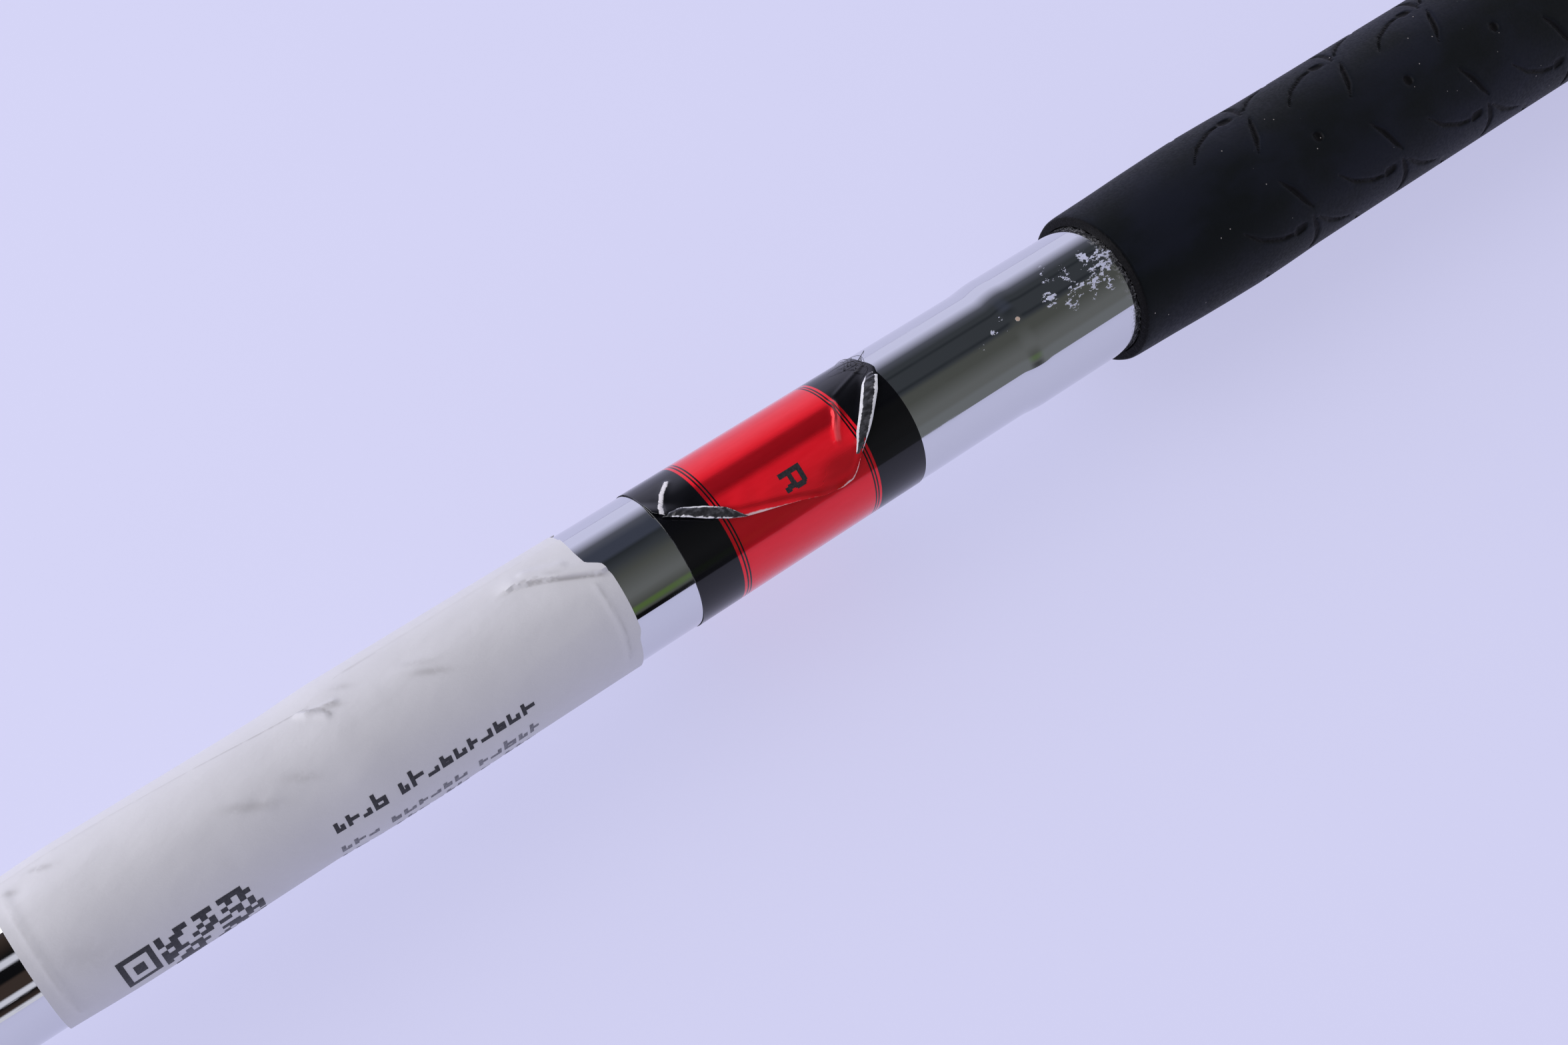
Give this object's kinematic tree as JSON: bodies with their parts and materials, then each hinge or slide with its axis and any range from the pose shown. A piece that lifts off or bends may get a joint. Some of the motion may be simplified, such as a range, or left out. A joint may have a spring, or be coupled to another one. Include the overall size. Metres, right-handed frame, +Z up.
{
  "type": "golf iron",
  "caption": "Golf iron with a cavity-back head, a stepped chromed steel shaft, a flex band, a wrapped paper label and a moulded rubber grip.",
  "frame": {"origin": "on the surface that the club lies on, under the middle of its bounding box", "axes": "+X along the shaft from the head to the butt of the grip, +Y from the shaft to the toe, +Z up; the club lies on the back of its sole with its face up"},
  "size_m": [0.9764, 0.1038, 0.0313],
  "materials": {
    "chrome_plate": "mirror-bright chrome plate with fine scratches and flaked spots near the grip",
    "satin_steel": "satin",
    "grip_rubber": "matte, moulded, slightly worn",
    "black_plastic": "turned and polished",
    "red_foil": "red and black metallised film",
    "label_paper": "matte, creased and smudged",
    "crepe_tape": "creped masking tape",
    "glue": "cured epoxy",
    "brass": "turned",
    "badge_plastic": "blank satin plate"
  },
  "bodies": {
    "root": {"club_head": "satin_steel", "cavity_badge": "badge_plastic", "ferrule": "black_plastic", "hosel_glue": "glue", "tip_weight": "brass", "shaft": "chrome_plate", "flex_band": "red_foil", "paper_label": "label_paper", "grip_tape": "crepe_tape", "grip_sleeve": "grip_rubber", "grip_cap": "grip_rubber"}
  },
  "joints": []
}
